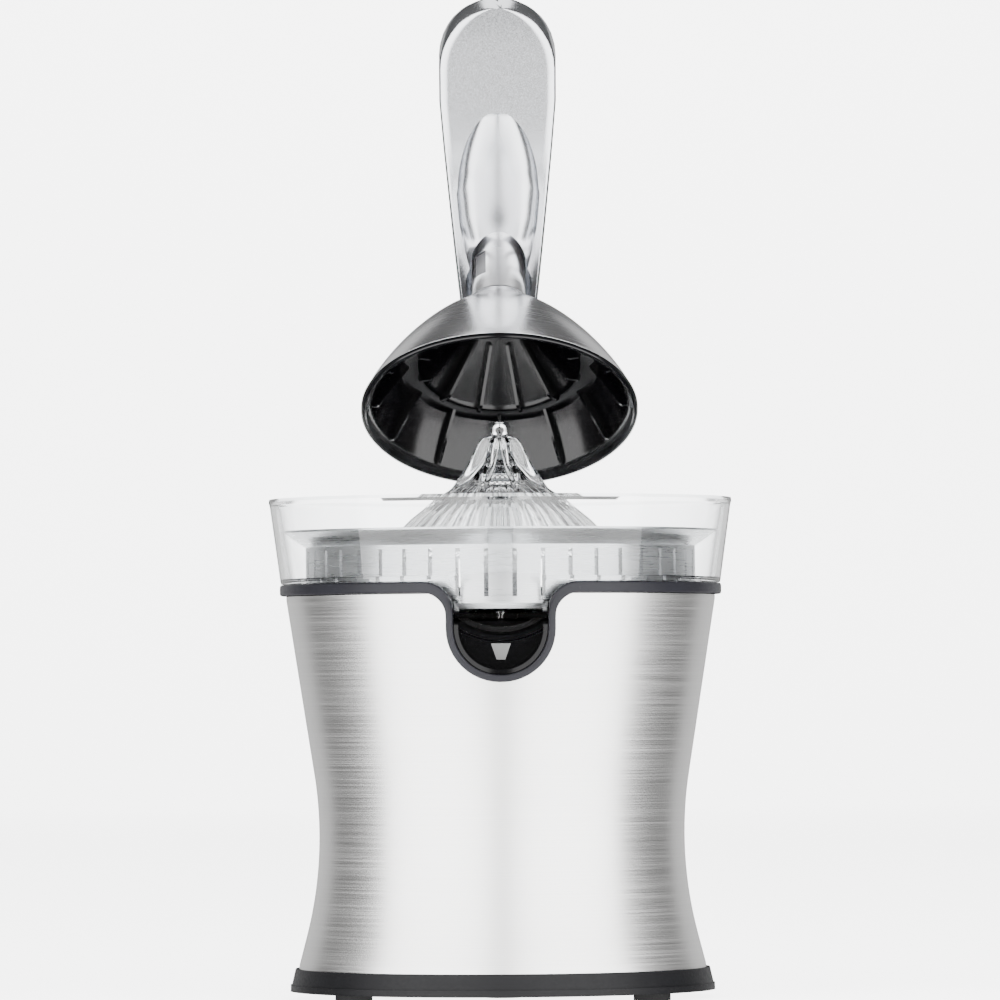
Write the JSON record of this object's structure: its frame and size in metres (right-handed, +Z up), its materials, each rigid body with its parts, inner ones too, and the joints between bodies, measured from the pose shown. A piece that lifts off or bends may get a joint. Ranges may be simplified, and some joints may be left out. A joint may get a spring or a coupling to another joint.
{
  "type": "citrus press juicer",
  "caption": "Lever citrus press: a raised pressing dome on a hinged arm over a motor-driven clear reamer, strainer and bowl on a waisted brushed-steel body with a front spout.",
  "frame": {"origin": "on the reamer's vertical drive axis, at the level of the table", "axes": "+Z up along the drive axis, -Y towards the front spout, +X to the right seen from the front"},
  "size_m": [0.176, 0.2324, 0.383],
  "materials": {
    "brushed_housing": "horizontally brushed",
    "satin_arm": "satin",
    "satin_dome": "brushed round its axis",
    "strainer_steel": "satin",
    "polished_steel": "polished",
    "steel_part": "zinc plated",
    "base_black": "fine grain",
    "foot_rubber": "matt",
    "trim_grey": "satin",
    "deck_black": "glossy",
    "marker_grey": "printed",
    "bush_brass": "sintered",
    "gearbox_plastic": "moulded",
    "winding_copper": "enamelled wire",
    "brush_carbon": "carbon",
    "nylon_white": "nylon",
    "capacitor_yellow": "moulded",
    "latch_dark": "satin",
    "liner_black": "glossy",
    "switch_red": "moulded",
    "clear_plastic": "clear moulded plastic"
  },
  "bodies": {
    "base": {"housing_shell": "brushed_housing", "base_screws": "steel_part", "gearbox_screws": "steel_part", "idler_pin": "steel_part", "motor_stator": "steel_part", "motor_upper_bracket": "steel_part", "motor_lower_bracket": "steel_part", "motor_bolts": "steel_part", "switch_bracket": "steel_part", "hinge_bracket": "steel_part", "hinge_backplate": "steel_part", "hinge_pin": "steel_part", "hinge_screws": "steel_part", "base_tray": "base_black", "cord_gland": "base_black", "rubber_feet": "foot_rubber", "shaft_seal": "foot_rubber", "trim_ring": "trim_grey", "top_deck": "deck_black", "spout_pocket": "deck_black", "outlet_marker": "marker_grey", "upper_bush": "bush_brass", "lower_bush": "bush_brass", "motor_bushes": "bush_brass", "gearbox_case": "gearbox_plastic", "gearbox_cover": "gearbox_plastic", "microswitch_body": "gearbox_plastic", "motor_windings": "winding_copper", "motor_brushes": "brush_carbon", "terminal_block": "nylon_white", "suppression_capacitor": "capacitor_yellow"},
    "lever": {"lever_arm": "satin_arm", "hinge_bushes": "bush_brass", "coupler_sleeve": "polished_steel", "lever_spring": "steel_part"},
    "latch": {"latch_button": "latch_dark"},
    "dome": {"dome_shell": "satin_dome", "dome_liner": "liner_black", "dome_stud": "steel_part", "liner_screw": "steel_part"},
    "plunger": {"press_plunger": "nylon_white", "press_spring": "steel_part"},
    "switch_tip": {"switch_button": "switch_red"},
    "shaft": {"drive_shaft": "steel_part"},
    "final_gear": {"output_gear": "nylon_white"},
    "idler": {"idler_gear": "nylon_white"},
    "rotor": {"motor_shaft": "steel_part", "rotor_core": "gearbox_plastic", "commutator": "bush_brass", "cooling_fan": "nylon_white", "motor_pinion": "bush_brass"},
    "reamer": {"reamer_cone": "clear_plastic"},
    "bowl": {"juice_bowl": "clear_plastic"},
    "strainer_basket": {"strainer": "strainer_steel"}
  },
  "joints": [
    {"name": "lever_hinge", "type": "hinge", "parent": "base", "child": "lever", "pos_m": [0, 0.1, 0.145], "axis": [-1, 0, 0], "range_deg": [-30.5, 0], "stiffness_Nm_per_rad": 1, "springref_deg": 57.3},
    {"name": "latch_press", "type": "slide", "parent": "lever", "child": "latch", "axis": [-0.7193, -0.5985, 0.3526], "range_m": [-0.0015, 0], "stiffness_N_per_m": 400, "springref_m": 0.002},
    {"name": "dome_release", "type": "slide", "parent": "lever", "child": "dome", "axis": [0, -0.5075, -0.8616], "range_m": [0, 0.02]},
    {"name": "shaft_press", "type": "slide", "parent": "base", "child": "plunger", "axis": [0, 0, 1], "range_m": [-0.002, 0], "stiffness_N_per_m": 1500, "springref_m": 0.006, "deforming": ["press_spring"]},
    {"name": "switch_travel", "type": "slide", "parent": "base", "child": "switch_tip", "axis": [0, 0, 1], "range_m": [-0.002, 0]},
    {"name": "gear_spin", "type": "hinge", "parent": "base", "child": "final_gear", "pos_m": [0, 0, 0.116], "axis": [0, 0, 1], "continuous": true},
    {"name": "idler_spin", "type": "hinge", "parent": "base", "child": "idler", "pos_m": [0, 0.0375, 0.105], "axis": [0, 0, 1], "continuous": true},
    {"name": "rotor_spin", "type": "hinge", "parent": "base", "child": "rotor", "pos_m": [0.02212, 0.01723, 0.105], "axis": [0, 0, 1], "continuous": true},
    {"name": "shaft_spin", "type": "hinge", "parent": "plunger", "child": "shaft", "pos_m": [0, 0, 0.15], "axis": [0, 0, 1], "continuous": true},
    {"name": "reamer_lift", "type": "slide", "parent": "shaft", "child": "reamer", "axis": [0, 0, 1], "range_m": [0, 0.016]},
    {"name": "bowl_lift", "type": "slide", "parent": "base", "child": "bowl", "axis": [0, 0, 1], "range_m": [0, 0.013]},
    {"name": "strainer_lift", "type": "slide", "parent": "bowl", "child": "strainer_basket", "axis": [0, 0, 1], "range_m": [0, 0.006]}
  ],
  "couplings": [
    {"joint": "switch_travel", "follows": "shaft_press", "ratio": 1},
    {"joint": "idler_spin", "follows": "gear_spin", "ratio": -4},
    {"joint": "rotor_spin", "follows": "gear_spin", "ratio": 16},
    {"joint": "shaft_spin", "follows": "gear_spin", "ratio": 1}
  ]
}
